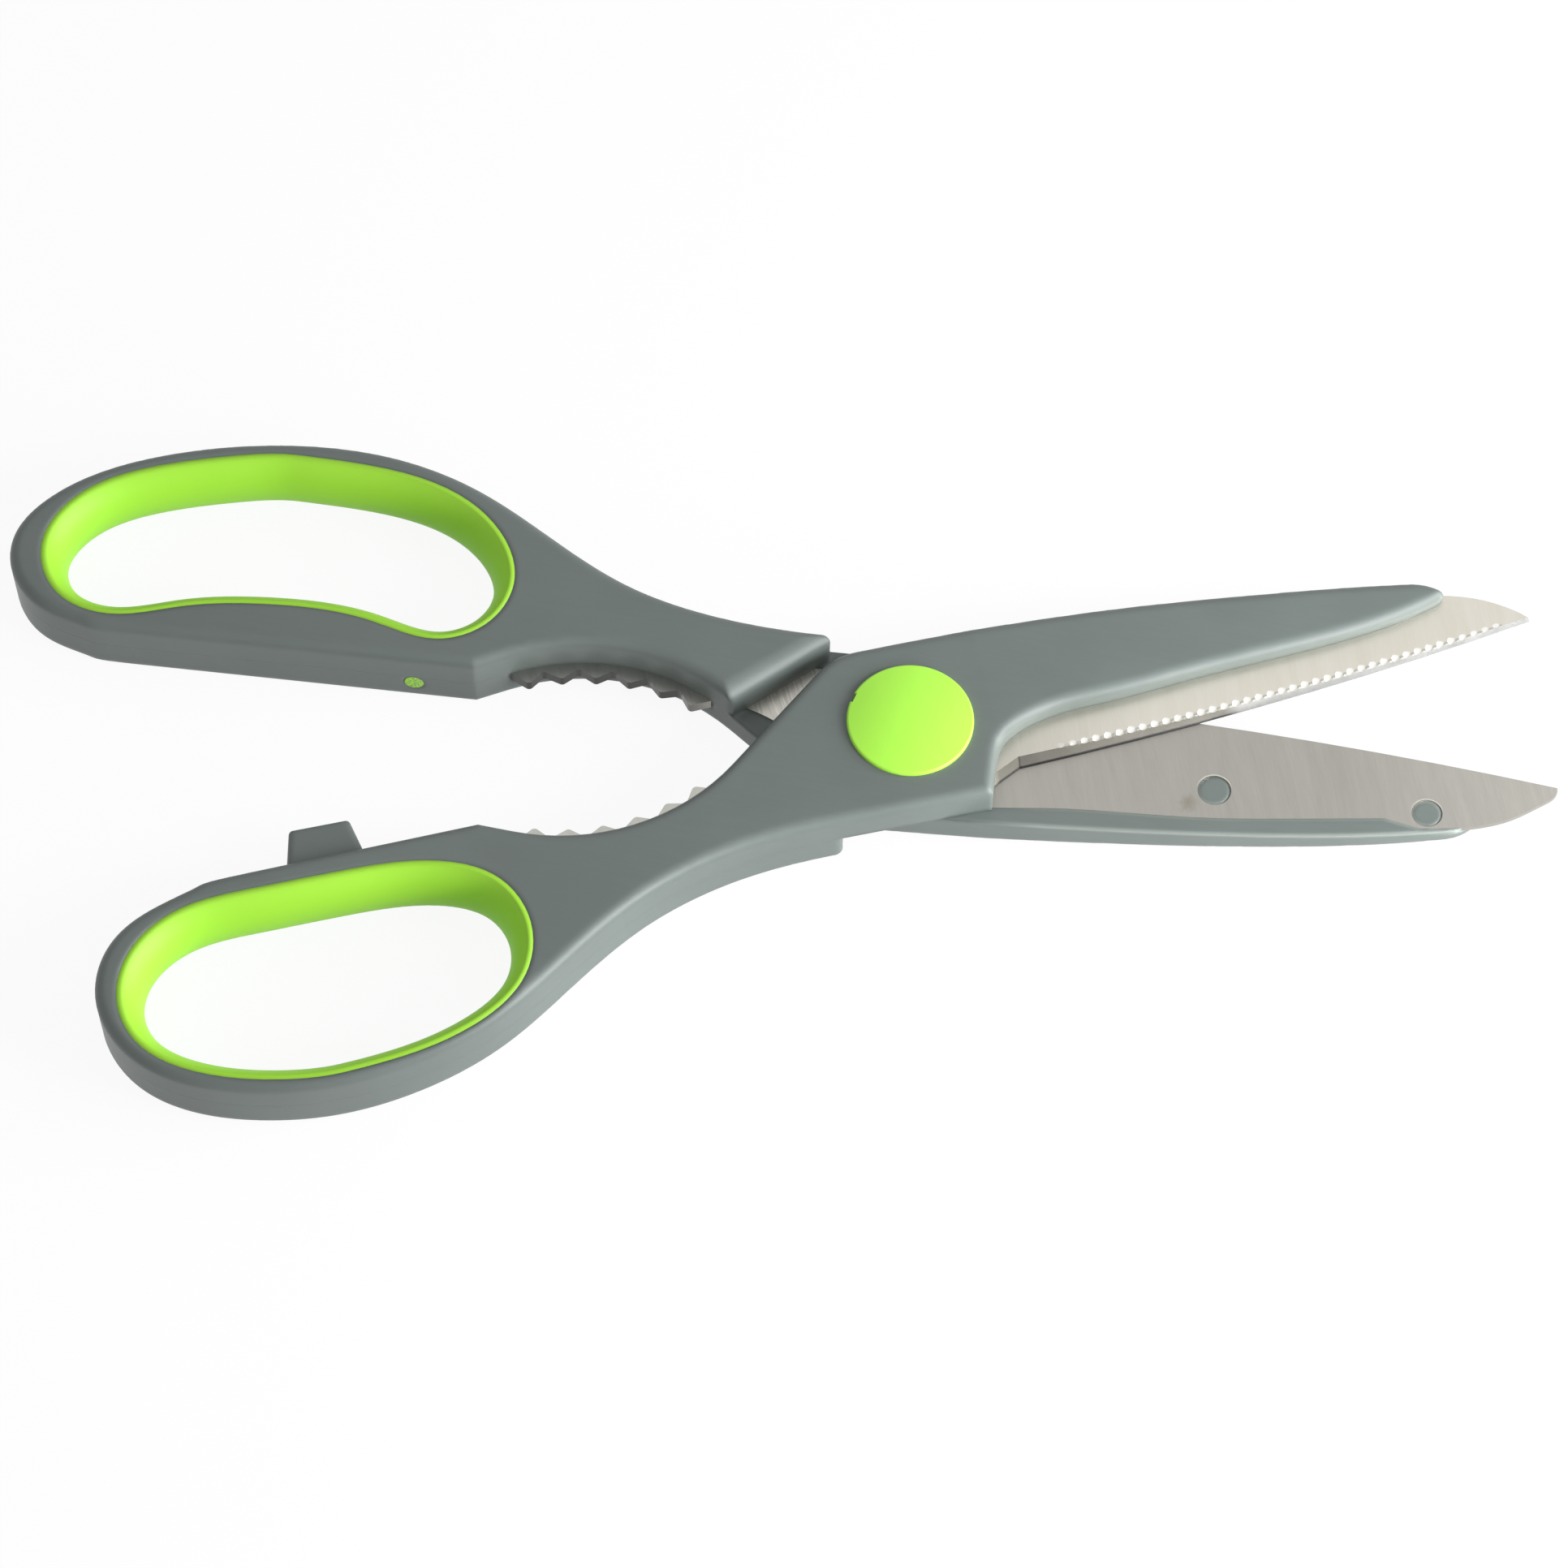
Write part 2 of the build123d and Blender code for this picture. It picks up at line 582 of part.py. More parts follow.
def rear_cap():
    """Flat plug that closes the nut's pocket, flush with the lower face."""
    plug = Cylinder(rear_cap_diameter / 2, rear_cap_thickness, align=standing)
    return chamfer(plug.edges().sort_by(Axis.Z)[0], rear_cap_edge)


large_grip = grip(large)
small_grip = grip(small)
lower_bore = Cylinder(bolt_diameter / 2, 2 * handle_thickness)
upper_bore = Cylinder(bolt_diameter / 2 + bolt_running_clearance, 2 * handle_thickness)
lower_blade = blade(large, False) - lower_bore
upper_blade = blade(small, True) - upper_bore
nut_pocket = nut_prism(nut_width + 2 * nut_clearance, steel_outer_z, half_thickness)
cap_recess = outer_bore(rear_cap_diameter, rear_cap_thickness - half_thickness)
bolt_room = outer_bore(cap_skirt_diameter, steel_outer_z)
large_handle = handle_body(large, lower_blade, large_grip,
                           [lower_bore, nut_pocket, cap_recess])
small_handle = handle_body(small, upper_blade, small_grip,
                           [upper_bore, bolt_room], stop_tab())

lower_place = Pos(0, 0, half_thickness) * Rot(0, 0, lower_half_angle)
upper_place = Pos(0, 0, half_thickness) * Rot(0, 0, upper_half_angle) * Rot(180, 0, 0)
nodes = {
    "large_handle": lower_place * large_handle,
    "lower_blade": lower_place * lower_blade,
    "large_grip": lower_place * large_grip,
    "small_handle": upper_place * small_handle,
    "upper_blade": upper_place * upper_blade,
    "small_grip": upper_place * small_grip,
    "pivot_bolt": pivot_bolt(),
    "spring_washer": spring_washer(),
    "pivot_nut": lower_place * Pos(0, 0, -half_thickness) * pivot_nut(),
    "front_cap": front_cap(),
    "rear_cap": rear_cap(),
}
os.makedirs("parts", exist_ok=True)
for name, shape in nodes.items():
    export_step(shape, f"parts/{name}.step")
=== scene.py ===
import math

import bpy
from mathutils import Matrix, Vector


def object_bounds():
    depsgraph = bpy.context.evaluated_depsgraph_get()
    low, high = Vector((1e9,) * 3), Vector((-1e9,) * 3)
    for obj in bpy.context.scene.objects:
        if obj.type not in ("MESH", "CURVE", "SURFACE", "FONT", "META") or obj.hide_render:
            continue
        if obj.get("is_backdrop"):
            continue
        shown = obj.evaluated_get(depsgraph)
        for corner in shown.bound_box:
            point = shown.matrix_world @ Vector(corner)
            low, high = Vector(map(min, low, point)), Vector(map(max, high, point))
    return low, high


bl_info = {
    "name": "Kitchen shears",
    "version": (1, 0, 0),
    "blender": (4, 5, 0),
    "location": "3D View > Sidebar > Shears",
    "description": "Finishes, fine details, light and camera for a pair of kitchen shears",
    "category": "Object",
}

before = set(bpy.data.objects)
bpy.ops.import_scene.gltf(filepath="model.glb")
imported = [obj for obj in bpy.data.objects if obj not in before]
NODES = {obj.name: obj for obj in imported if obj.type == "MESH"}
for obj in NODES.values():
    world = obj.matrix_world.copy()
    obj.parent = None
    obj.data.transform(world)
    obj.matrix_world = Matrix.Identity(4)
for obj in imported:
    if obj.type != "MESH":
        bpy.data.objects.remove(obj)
CAD_BOX = [list(corner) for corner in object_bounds()]
MM = 0.001                       # a millimetre in the scene's metres

# Places on the shears in their rest pose, in millimetres and degrees
LOWER_ANGLE = -4.9               # the lower half's blade axis to the X axis
UPPER_ANGLE = 12.46              # the upper half's
PARTING_HEIGHT = 5.4             # where the two mould halves of a handle met
FACE_HEIGHT = 5.35               # sliding face of the lower blade
GATE_POINTS = ((-71.27, 10.44, 4.1), (-69.56, -18.43, 6.7))  # grips' moulding plugs
GATE_RADIUS = 1.45
COVER_HIGHLIGHT_X = (8.0, 18.0)        # where the painted highlight on the lower cover's long edge sets in
COVER_HIGHLIGHT_Y = (-6.0, -9.0)

# Places on a half, with X from the pivot to the tip and Y to the edge, in millimetres
HOLES = ((43.8, -4.5, 2.4), (74.0, -5.7, 2.2))   # filled holes: middle and radius
HOLE_GLINT_WIDTH = 0.06                 # half the painted highlight line round a hole
HOLE_GLINT_FADE = 0.16                  # and to where it fades out
STAIN_POINT = (40.2, -7.0, FACE_HEIGHT)
LOWER_BLADE_X = (-2.0, 8.0)      # from tang to sliding face
LOWER_TEETH_X = (-22.0, -34.0)   # from tang to the teeth, with painted shade
LOWER_TIP_X = (62.0, 92.0)       # from sliding face to its tip, made brighter by painted light
UPPER_BLADE_X = (5.0, 11.0)
UPPER_TEETH_X = (-28.0, -33.0)
SHADED_FACE_X = (34.0, 14.0)     # outer face, with painted shade darker towards the hub
HEEL = (14.2, 8.0)               # start of the cutting edge
HEEL_FACET_X = (14.6, 14.3)      # painted shade on the plain facet behind it
CROSSING_X = (47.5, 45.0)        # from the open bevel to the bevel over the lower blade
EDGE_RUN = (78.2, -8.0)          # from the heel straight to the tip
EDGE_LENGTH = 78.608             # length of that line
EDGE_WAY = (EDGE_RUN[0] / EDGE_LENGTH, EDGE_RUN[1] / EDGE_LENGTH)
EDGE_CROWN = 1.2                 # how far the edge bows out of it
BEVEL_RUN = 0.372                # width of the bevel at the tip
BEVEL_RUN_MORE = 0.585           # how much wider it is at the heel
BEVEL_SLOPE = (0.86, 0.78)       # how squarely face and bevel look up
BEVEL_TIP_X = (60.0, 92.0)       # from the open bevel to its tip, brighter by painted reflection
BEVEL_OVER_X = (24.0, 46.0)      # painted reflection over the lower blade, darker towards the crossing
GAP_SHADOW_LIFT = (0.46, 0.30)          # painted black shadow line under the bevel, above the sliding face
DOT_START = 6.5                  # heel to the first serration dot, a painted glint
DOT_END = 73.4
DOT_PITCH = 1.76
DOT_HALF_LENGTH = 0.52
DOT_HALF_WIDTH = 0.36
DOT_LIFT = 0.38                  # bevel's corner to a dot's middle
DOT_SHADE_HALF_LENGTH = 0.42           # painted shade between two dots
DOT_SHADE_HALF_WIDTH = 0.26
DOT_SHADE_LIFT = 0.12

# Colours of grinding, dirt and painted light and shade, as red, green, blue and alpha
# painted highlight on the lower cover's long edge
EDGE_HIGHLIGHT_GREY = (0.42, 0.46, 0.43, 1.0)
TANG_DARK = (0.42, 0.41, 0.37, 1.0)
TANG_LIGHT = (0.66, 0.64, 0.58, 1.0)
# painted shade of the lower blade's teeth
TOOTH_SIDE_SHADE = (0.06, 0.06, 0.056, 1.0)
TOOTH_TOP_SHADE = (0.35, 0.35, 0.33, 1.0)
UPPER_TOOTH = (0.50, 0.50, 0.46, 1.0)
STAIN_BROWN = (0.20, 0.17, 0.11, 1.0)
# painted reflections on the bevel and painted shade on the heel's facet
BEVEL_OPEN = (0.155, 0.157, 0.153, 1.0)
BEVEL_TIP = (0.225, 0.227, 0.222, 1.0)
BEVEL_HEEL = (0.136, 0.131, 0.117, 1.0)
BEVEL_CROSSING = (0.078, 0.076, 0.07, 1.0)
HEEL_FACET = (0.08, 0.078, 0.07, 1.0)
# painted shadow line, then the serration's painted shade and glints
GAP_SHADOW_BLACK = (0.03, 0.03, 0.03, 1.0)
DOT_SHADE_GREY = (0.30, 0.30, 0.27, 1.0)
DOT_GLINT_WHITE = (0.90, 0.90, 0.87, 1.0)

# Studio, in metres
TABLE_HALF = 3.0
TABLE_SHADE = 0.86
SENSOR_WIDTH = 36.0              # in millimetres
LAMPS = (                        # name, place, point it looks at, width, power's setting
    ("key_light", (0.30, -0.14, 0.20), (0.02, 0, 0), 0.16, "key_power"),
    ("side_light", (0.40, 0.02, 0.12), (0.02, 0, 0), 0.14, "side_power"),
    ("front_light", (0.22, -0.20, 0.06), (0.03, 0, 0), 0.10, "front_power"),
)


# Shader graphs

class Value:
    """A node's output that can stand in a sum or a product."""

    def __init__(self, finish, socket):
        self.finish = finish
        self.socket = socket

    def math(self, operation, first, second):
        """Math node of two values."""
        return self.finish.node("ShaderNodeMath", {"operation": operation},
                                {0: first, 1: second})

    def __add__(self, other):
        return self.math("ADD", self, other)

    __radd__ = __add__

    def __sub__(self, other):
        return self.math("SUBTRACT", self, other)

    def __rsub__(self, other):
        return self.math("SUBTRACT", other, self)

    def __mul__(self, other):
        return self.math("MULTIPLY", self, other)

    __rmul__ = __mul__

    def __truediv__(self, other):
        return self.math("DIVIDE", self, other)

    def __rtruediv__(self, other):
        return self.math("DIVIDE", other, self)

    def __pow__(self, other):
        return self.math("POWER", self, other)

    def __rpow__(self, other):
        return self.math("POWER", other, self)

    def __abs__(self):
        return self.math("ABSOLUTE", self, 0.0)

    def __round__(self):
        return self.math("ROUND", self, 0.0)


class Finish:
    """A material or world under construction: its tree and the calls that fill it."""

    def __init__(self, name, library=None):
        holder = bpy.data.materials if library is None else library
        self.material = holder.new(name)
        self.material.use_nodes = True
        self.tree = self.material.node_tree
        self.tree.nodes.clear()

    def node(self, kind, settings=None, sockets=None, output=0):
        """Add a node, its settings first, and return one of its outputs."""
        made = self.tree.nodes.new(kind)
        for key, value in (settings or {}).items():
            if key == "stops":
                self.fill_ramp(made.color_ramp, value)
            else:
                setattr(made, key, value)
        for key, value in (sockets or {}).items():
            if isinstance(value, Value):
                self.tree.links.new(value.socket, made.inputs[key])
            else:
                made.inputs[key].default_value = value
        return Value(self, made.outputs[output]) if made.outputs else None

    @staticmethod
    def fill_ramp(ramp, stops):
        """Give a colour ramp its stops, each a place from 0 to 1 and a colour."""
        while len(ramp.elements) > 1:
            ramp.elements.remove(ramp.elements[-1])
        for index, (place, shade) in enumerate(stops):
            element = ramp.elements[0] if index == 0 else ramp.elements.new(place)
            element.position = place
            element.color = shade

    def place(self):
        """Point on the piece, in millimetres."""
        coordinates = self.node("ShaderNodeTexCoord", output=3)
        return self.node("ShaderNodeVectorMath", {"operation": "SCALE"},
                         {0: coordinates, "Scale": 1 / MM})

    def turned(self, place, angle, stretch):
        """Point turned about Z by degrees, then stretched along each axis."""
        turn = self.node("ShaderNodeVectorRotate", {"rotation_type": "Z_AXIS"},
                         {"Vector": place, "Angle": math.radians(angle)})
        return self.node("ShaderNodeVectorMath", {"operation": "MULTIPLY"},
                         {0: turn, 1: stretch})

    def noise(self, place, scale, detail, roughness):
        """Soft noise from 0 to 1 at so many lumps to the millimetre."""
        return self.node("ShaderNodeTexNoise", None,
                         {"Vector": place, "Scale": scale, "Detail": detail,
                          "Roughness": roughness})

    def ramp(self, factor, stops):
        """Shades of grey between stops."""
        shades = [(place, colour(shade, shade, shade)) for place, shade in stops]
        return self.node("ShaderNodeValToRGB", {"stops": shades}, {0: factor})

    def blend(self, factor, first, second, mode="MIX"):
        """Mix two colours."""
        return self.node("ShaderNodeMix",
                         {"data_type": "RGBA", "blend_type": mode, "clamp_factor": True},
                         {0: factor, 6: first, 7: second}, output=2)

    def split(self, vector, axis):
        """One coordinate of a point."""
        return self.node("ShaderNodeSeparateXYZ", None, {0: vector}, output=axis)

    def fade(self, value, start, end):
        """Ramp from 0 at one value to 1 at another, held beyond them."""
        return self.node("ShaderNodeMapRange", None, {0: value, 1: start, 2: end})

    def away(self, place, point):
        """Distance from a point, in millimetres."""
        return self.node("ShaderNodeVectorMath", {"operation": "DISTANCE"},
                         {0: place, 1: point}, output=1)

    def facing_up(self):
        """How squarely the surface faces up: 1 on a level face, 0 on a wall."""
        return self.split(self.node("ShaderNodeTexCoord", output=1), 2)

    def softened(self, radius):
        """Normal of a surface whose edges are broken by a radius in metres."""
        return self.node("ShaderNodeBevel", {"samples": 6}, {"Radius": radius})

    def normal(self):
        """Normal of the surface as it is."""
        return self.node("ShaderNodeNewGeometry", output=1)

    def facing_same(self, first, second):
        """How far two normals agree: 1 for the same one."""
        return self.node("ShaderNodeVectorMath", {"operation": "DOT_PRODUCT"},
                         {0: first, 1: second}, output=1)

    def merge(self, factor, first, second):
        """Mix two vectors."""
        return self.node("ShaderNodeMix", {"data_type": "VECTOR", "clamp_factor": True},
                         {0: factor, 4: first, 5: second}, output=1)

    def bump(self, height, depth, strength, normal=None):
        """Bump of a height map whose 0 to 1 is so many millimetres."""
        sockets = {"Height": height, "Distance": depth * MM, "Strength": strength}
        if normal is not None:
            sockets["Normal"] = normal
        return self.node("ShaderNodeBump", None, sockets)

    def seen_directly(self):
        """One for rays from the camera and for those that gloss or glass sends on."""
        camera = self.node("ShaderNodeLightPath", output=0)
        glossy = self.node("ShaderNodeLightPath", output=3)
        through = self.node("ShaderNodeLightPath", output=6)
        return camera + glossy + through

    def surface(self, **sockets):
        """End the material with a Principled shader; names use _ for a space."""
        named = {key.replace("_", " "): value for key, value in sockets.items()}
        shader = self.node("ShaderNodeBsdfPrincipled", None, named)
        self.node("ShaderNodeOutputMaterial", None, {"Surface": shader})
        return self.material


def colour(red, green, blue):
    """Colour with its alpha."""
    return (red, green, blue, 1.0)


def shaded(tint, share):
    """Colour of a tint made darker or brighter by a share."""
    return colour(*(part * share for part in tint))


# Sizes and colours that a user would change

class ShearsFinishes(bpy.types.PropertyGroup):
    """Colours and gloss of the shears' materials."""

    plastic_colour: bpy.props.FloatVectorProperty(
        name="Moulded plastic", description="Colour of the grey handles and blade covers",
        default=(0.131, 0.156, 0.146), subtype="COLOR", min=0, max=1)
    plastic_roughness: bpy.props.FloatProperty(
        name="Plastic roughness", description="Gloss of the handles, 0 for polished",
        default=0.42, min=0, max=1, subtype="FACTOR")
    plastic_edge: bpy.props.FloatProperty(
        name="Plastic edges", description="Radius that softens the handles' edges",
        default=0.0012, min=0, max=0.003, unit="LENGTH")
    grip_edge: bpy.props.FloatProperty(
        name="Grip edges", description="Radius that softens the grips' edges",
        default=0.0012, min=0, max=0.003, unit="LENGTH")
    grip_colour: bpy.props.FloatVectorProperty(
        name="Soft grip", description="Colour of the soft linings of the finger loops",
        default=(0.36, 0.74, 0.045), subtype="COLOR", min=0, max=1)
    cap_colour: bpy.props.FloatVectorProperty(
        name="Pivot cap", description="Colour of the domed cap over the pivot",
        default=(0.43, 0.93, 0.075), subtype="COLOR", min=0, max=1)
    steel_colour: bpy.props.FloatVectorProperty(
        name="Blade steel", description="Colour of the blades' bright outer faces",
        default=(0.69, 0.66, 0.585), subtype="COLOR", min=0, max=1)
    sliding_colour: bpy.props.FloatVectorProperty(
        name="Sliding face", description="Colour of the coarser ground sliding face",
        default=(0.40, 0.388, 0.352), subtype="COLOR", min=0, max=1)


class ShearsStage(bpy.types.PropertyGroup):
    """Camera and light of the studio."""

    lens: bpy.props.FloatProperty(
        name="Lens", description="Focal length of the camera, in millimetres",
        default=112.957, min=20, max=300, unit="CAMERA")
    distance: bpy.props.FloatProperty(
        name="Camera distance", description="From the camera to the middle of the view",
        default=0.7, min=0.2, max=5, unit="LENGTH")
    elevation: bpy.props.FloatProperty(
        name="Camera elevation", description="Angle of the view above the table",
        default=math.radians(60), subtype="ANGLE")
    target: bpy.props.FloatVectorProperty(
        name="View middle", description="Point that the camera looks at",
        default=(-0.017933, -0.007237, 0.0054), subtype="TRANSLATION", unit="LENGTH")
    key_power: bpy.props.FloatProperty(
        name="Key light", description="Power of the large soft light on the right",
        default=1.05, min=0, max=100, unit="POWER")
    side_power: bpy.props.FloatProperty(
        name="Side light", description="Power of the soft light beside the blades",
        default=1.4, min=0, max=100, unit="POWER")
    front_power: bpy.props.FloatProperty(
        name="Front light", description="Power of the low soft light in front",
        default=0.74, min=0, max=100, unit="POWER")
    room_light: bpy.props.FloatProperty(
        name="Room light", description="Strength of the light from all sides",
        default=0.44, min=0, max=2)


def finishes():
    """The user's finishes."""
    return bpy.context.scene.shears_finishes


def dress(name, material):
    """Give a CAD node its material."""
    piece = NODES[name]
    piece.data.materials.clear()
    piece.data.materials.append(material)


# Finishes

def in_lower_half(finish):
    """Point in the lower half's frame: X from the pivot to the tip, Y to the edge."""
    return finish.turned(finish.place(), -LOWER_ANGLE, (1.0, 1.0, 1.0))


def in_upper_half(finish):
    """The same for the upper half, which lies the other way up."""
    return finish.turned(finish.place(), -UPPER_ANGLE, (1.0, -1.0, 1.0))


def gate_mark(finish, place):
    """Round mark of a grip's plug in the handle's inner wall, and its mottling."""
    first, second = (finish.fade(finish.away(place, point), GATE_RADIUS,
                                 GATE_RADIUS - 0.15) for point in GATE_POINTS)
    disc = first + second
    speckle = finish.fade(finish.noise(place, 3.2, 1.0, 0.4), 0.52, 0.60)
    return disc, speckle


def painted_edge_highlight(finish, place, soft):
    """Painted highlight along the long edge of the lower half's blade cover."""
    cover = finish.fade(finish.split(place, 0), *COVER_HIGHLIGHT_X)
    cover = cover * finish.fade(finish.split(place, 1), *COVER_HIGHLIGHT_Y)
    return finish.fade(finish.facing_same(soft, finish.normal()), 0.985, 0.86) * cover


def moulded_plastic(name):
    """Grey plastic: fine eroded grain, a parting line, the grip's gate mark, a painted
    edge highlight.
    """
    own = finishes()
    finish = Finish(name)
    place = finish.place()
    grain = finish.noise(place, 5.0, 3.0, 0.6)
    cloud = finish.noise(place, 0.06, 3.0, 0.55)
    rubs = finish.noise(finish.turned(place, 12.0, (0.12, 1.6, 1.6)), 1.0, 4.0, 0.6)
    shade = finish.ramp(cloud * 0.7 + rubs * 0.3, [(0.38, 0.45), (0.62, 0.55)])
    base = finish.blend(0.45, colour(*own.plastic_colour), shade, "OVERLAY")
    disc, speckle = gate_mark(finish, place)
    base = finish.blend(disc * (1 - speckle * 0.6), base, colour(*own.grip_colour))
    rough = own.plastic_roughness + (grain - 0.5) * 0.10 + (rubs - 0.5) * 0.08
    seam = finish.fade(abs(finish.split(place, 2) - PARTING_HEIGHT), 0.13, 0.05)
    soft = finish.softened(own.plastic_edge)
    # painted highlight along the lower cover's long edge
    base = finish.blend(painted_edge_highlight(finish, place, soft) * 0.7, base, EDGE_HIGHLIGHT_GREY)
    edges = finish.merge(disc, soft, finish.normal())
    grained = finish.bump(grain, 0.012, 0.6, edges)
    normal = finish.bump(seam, 0.06, 0.5, grained)
    return finish.surface(Base_Color=base, Roughness=rough, Normal=normal,
                          Specular_IOR_Level=0.5, IOR=1.49)


def soft_rubber(name):
    """Green soft grip: matt, with a very fine skin and rolled edges."""
    own = finishes()
    finish = Finish(name)
    place = finish.place()
    grain = finish.noise(place, 4.0, 3.0, 0.6)
    cloud = finish.noise(place, 0.05, 2.0, 0.5)
    shade = finish.ramp(cloud, [(0.35, 0.47), (0.65, 0.53)])
    base = finish.blend(0.3, colour(*own.grip_colour), shade, "OVERLAY")
    disc, speckle = gate_mark(finish, place)
    base = finish.blend(disc * speckle * 0.6, base, colour(*own.plastic_colour))
    rough = 0.52 + (grain - 0.5) * 0.12
    edges = finish.merge(disc, finish.softened(own.grip_edge), finish.normal())
    normal = finish.bump(grain, 0.01, 0.5, edges)
    return finish.surface(Base_Color=base, Roughness=rough, Normal=normal,
                          Specular_IOR_Level=0.4)


def cap_plastic(name):
    """Green cap: smooth satin plastic with a trace of moulding flow."""
    own = finishes()
    finish = Finish(name)
    place = finish.place()
    grain = finish.noise(place, 3.0, 2.0, 0.5)
    flow = finish.noise(finish.turned(place, 70.0, (0.2, 0.9, 0.9)), 1.0, 2.0, 0.5)
    shade = finish.ramp(flow, [(0.35, 0.48), (0.65, 0.52)])
    base = finish.blend(0.4, colour(*own.cap_colour), shade, "OVERLAY")
    rough = 0.38 + (grain - 0.5) * 0.08
    normal = finish.bump(grain, 0.006, 0.5)
    return finish.surface(Base_Color=base, Roughness=rough, Normal=normal,
                          Specular_IOR_Level=0.5)


def grinding_lines(finish, place, angle):
    """Fine lines that the grinding belt leaves, and the slower unevenness under them."""
    lines = finish.noise(finish.turned(place, angle, (0.30, 7.0, 7.0)), 1.0, 4.0, 0.6)
    bands = finish.noise(finish.turned(place, angle, (0.04, 0.55, 0.55)), 1.0, 3.0, 0.55)
    return lines, bands


def ground_steel(finish, tint, lines, bands, contrast=0.6, roughness=0.34):
    """Stainless steel surface of a tint, with its grinding lines."""
    shade = finish.ramp(lines * 0.5 + bands * 0.5, [(0.32, 0.42), (0.68, 0.57)])
    base = finish.blend(contrast, tint, shade, "OVERLAY")
    rough = roughness + (lines - 0.5) * 0.16 + (bands - 0.5) * 0.08
    normal = finish.bump(lines, 0.006, 0.6)
    return finish.surface(Base_Color=base, Metallic=1.0, Roughness=rough, Normal=normal)


def tang_tint(finish, place):
    """Coarse lines of the tang, which nobody polished."""
    coarse = finish.noise(finish.turned(place, 70.0, (0.25, 4.2, 4.2)), 1.0, 4.0, 0.6)
    return finish.blend(finish.fade(coarse, 0.30, 0.70), TANG_DARK, TANG_LIGHT)


def painted_hole_glints(finish, place, tint, bright):
    """Tint with a painted highlight line round the edge's side of each filled hole."""
    for x, y, radius in HOLES:
        gap = finish.away(place, (x, y, FACE_HEIGHT))
        glint = finish.fade(abs(gap - radius - HOLE_GLINT_WIDTH), HOLE_GLINT_FADE, HOLE_GLINT_WIDTH)
        glint = glint * finish.fade(finish.split(place, 1), y + 0.2, y + radius * 0.8)
        tint = finish.blend(glint, tint, bright)
    return tint


def stained(finish, place, tint):
    """Tint with a faint brown stain."""
    spot = finish.away(place, STAIN_POINT) + finish.noise(place, 0.9, 3.0, 0.6) * 2.4
    return finish.blend(finish.fade(spot, 2.9, 1.2) * 0.45, tint, STAIN_BROWN)


def lower_steel(name):
    """Lower blade: coarse ground face, dull tang, painted light and shade, a stain by a
    hole.
    """
    own = finishes()
    finish = Finish(name)
    place = in_lower_half(finish)
    along = finish.split(place, 0)
    lines, bands = grinding_lines(finish, place, 76.0)
    # painted light: the sliding face grows brighter towards its tip
    face = finish.blend(finish.fade(along, *LOWER_TIP_X), colour(*own.sliding_colour),
                        shaded(own.sliding_colour, 1.25))
    tint = finish.blend(finish.fade(along, *LOWER_BLADE_X), tang_tint(finish, place), face)
    # painted shade on the teeth: sides darker than tops, all darker than the face
    level = finish.fade(finish.facing_up(), 0.3, 0.7)
    teeth = finish.blend(level, TOOTH_SIDE_SHADE, TOOTH_TOP_SHADE)
    tint = finish.blend(finish.fade(along, *LOWER_TEETH_X), tint, teeth)
    # painted highlights round the filled holes
    tint = painted_hole_glints(finish, place, tint, colour(*own.steel_colour))
    tint = stained(finish, place, tint)
    return ground_steel(finish, tint, lines, bands, 0.42)


def from_edge_corner(along, across):
    """Distance along the edge from the heel, and inwards from the bevel's corner."""
    out, up = along - HEEL[0], across - HEEL[1]
    from_heel = out * EDGE_WAY[0] + up * EDGE_WAY[1]
    left = 1 - from_heel / EDGE_LENGTH
    bow = from_heel * left * (4 * EDGE_CROWN / EDGE_LENGTH)
    from_edge = bow + out * EDGE_WAY[1] - up * EDGE_WAY[0]
    return from_heel, from_edge - BEVEL_RUN - left * BEVEL_RUN_MORE


def bevel_tint(finish, place, along):
    """Bevel's painted reflection: dark over the lower blade, a painted shadow line, bright
    past it.
    """
    crossing = finish.fade(along, *CROSSING_X)
    beyond = finish.blend(finish.fade(along, *BEVEL_TIP_X), BEVEL_OPEN, BEVEL_TIP)
    over = finish.blend(finish.fade(along, *BEVEL_OVER_X), BEVEL_HEEL, BEVEL_CROSSING)
    tint = finish.blend(crossing, beyond, over)
    tint = finish.blend(finish.fade(along, *HEEL_FACET_X), tint, HEEL_FACET)
    # painted shadow: a black line low on the bevel where it lies over the lower blade
    start, end = (FACE_HEIGHT + lift for lift in GAP_SHADOW_LIFT)
    gap = finish.fade(finish.split(place, 2), start, end)
    return finish.blend(gap * crossing, tint, GAP_SHADOW_BLACK)


def serrated(finish, tint, bevel, from_heel, corner):
    """Tint with a painted glint on each serration scallop and painted shade between them.
    """
    count = (from_heel - DOT_START) / DOT_PITCH
    aside = (count - round(count)) * DOT_PITCH
    row = finish.fade(from_heel, DOT_START - 1.0, DOT_START + 3.0)
    row = row * finish.fade(from_heel, DOT_END + 0.9, DOT_END + 0.8)
    between = (DOT_PITCH / 2 - abs(aside)) / DOT_SHADE_HALF_LENGTH
    # painted shade between the serration glints
    dot_shade = between ** 2 + ((corner - DOT_SHADE_LIFT) / DOT_SHADE_HALF_WIDTH) ** 2
    tint = finish.blend(finish.fade(dot_shade, 1.3, 0.5) * row * 0.45, tint, DOT_SHADE_GREY)
    # painted glint on each serration scallop
    oval = (aside / DOT_HALF_LENGTH) ** 2 + ((corner - DOT_LIFT) / DOT_HALF_WIDTH) ** 2
    dots = finish.fade(oval, 1.3, 0.6) * row * (1 - bevel)
    return finish.blend(dots * 0.9, tint, DOT_GLINT_WHITE)


